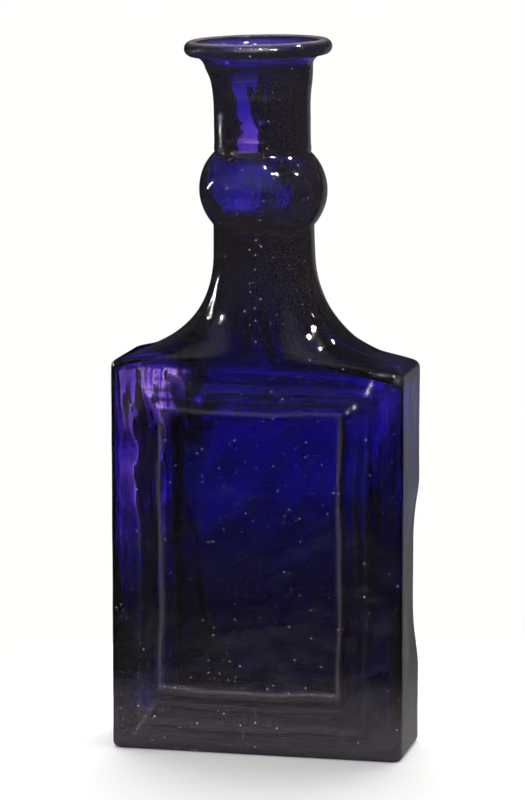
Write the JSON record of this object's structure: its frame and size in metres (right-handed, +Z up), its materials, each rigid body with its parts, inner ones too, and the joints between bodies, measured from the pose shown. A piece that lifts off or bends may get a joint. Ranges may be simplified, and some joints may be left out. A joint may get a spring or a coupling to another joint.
{
  "type": "antique glass bottle",
  "caption": "Flat rectangular glass bottle with a framed panel on each broad face, swept shoulder, knopped neck, open mouth and wide rolled lip; stands on its base.",
  "frame": {"origin": "middle of the base, on the surface the bottle stands on", "axes": "+Z up along the neck to the lip; the front panel faces -Y; +X points out of the dished narrow side"},
  "size_m": [0.079, 0.039, 0.19],
  "materials": {
    "glass": "deep violet-blue blown glass, glossy with fine seeds and a softly wavy surface"
  },
  "bodies": {
    "root": {"base": "glass", "body": "glass", "shoulder": "glass", "lower_neck": "glass", "neck_knop": "glass", "upper_neck": "glass", "lip": "glass"}
  },
  "joints": []
}
